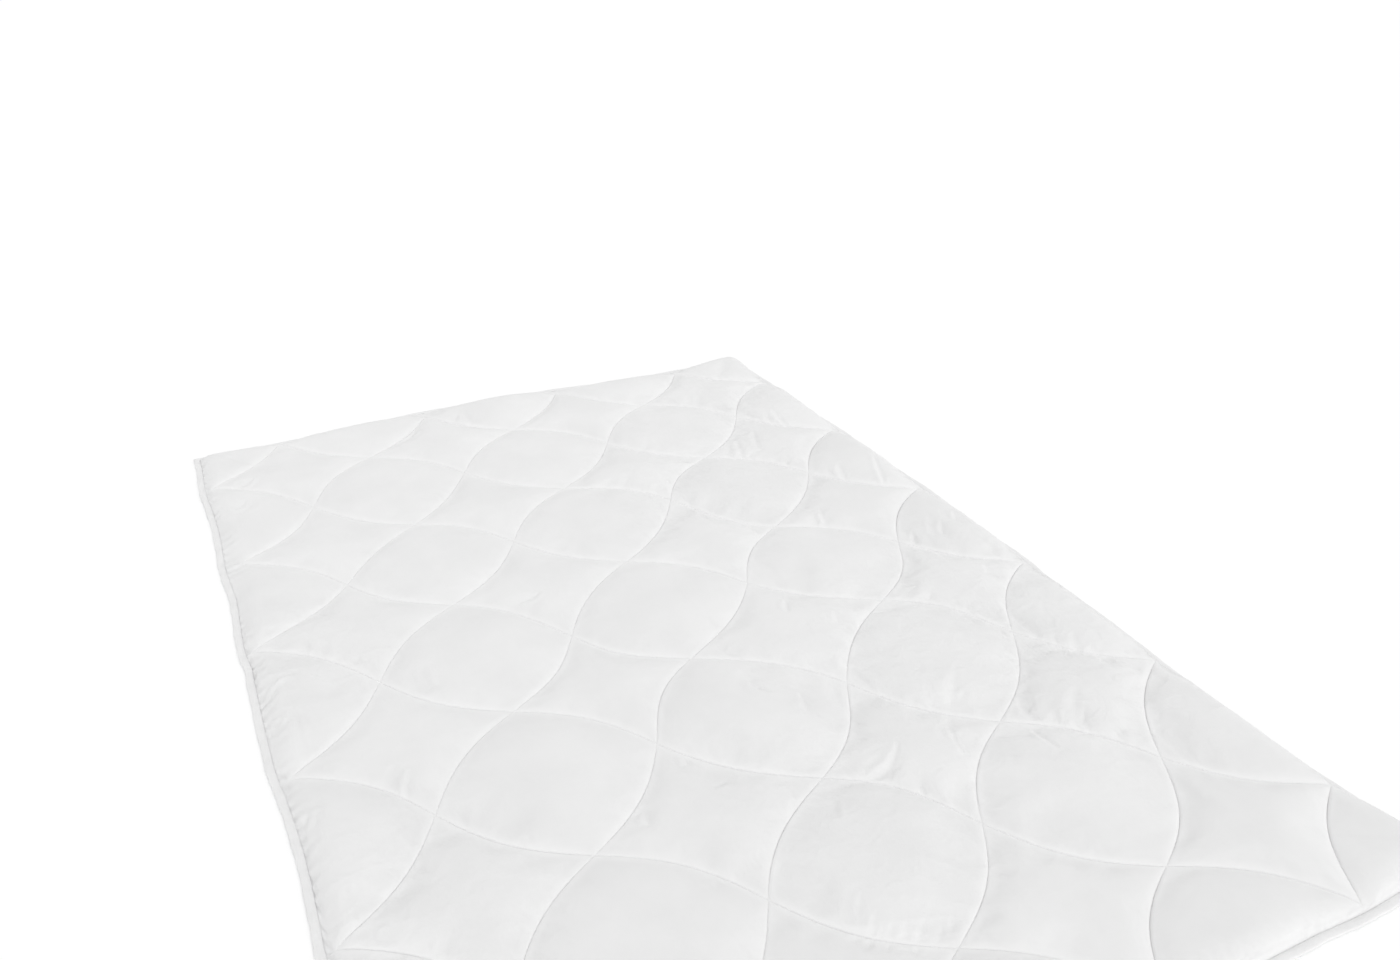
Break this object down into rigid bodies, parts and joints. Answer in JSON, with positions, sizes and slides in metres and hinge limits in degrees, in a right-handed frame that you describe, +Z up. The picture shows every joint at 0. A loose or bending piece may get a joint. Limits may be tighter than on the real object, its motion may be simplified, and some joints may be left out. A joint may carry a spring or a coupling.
{
  "type": "duvet",
  "caption": "Thin white duvet lying flat, quilted with wavy crossing lines into round and waisted cells, its edge bound with a narrow folded tape.",
  "frame": {"origin": "on the surface that the duvet lies on, under its middle", "axes": "+Y along its length, +X across its width, +Z up through its thickness"},
  "size_m": [1.35, 2, 0.0308],
  "materials": {
    "shell_cloth": "soft matt microfibre with a faint sheen",
    "binding_cloth": "matt woven tape"
  },
  "bodies": {
    "root": {"quilt": "shell_cloth", "edge_binding": "binding_cloth"}
  },
  "joints": []
}
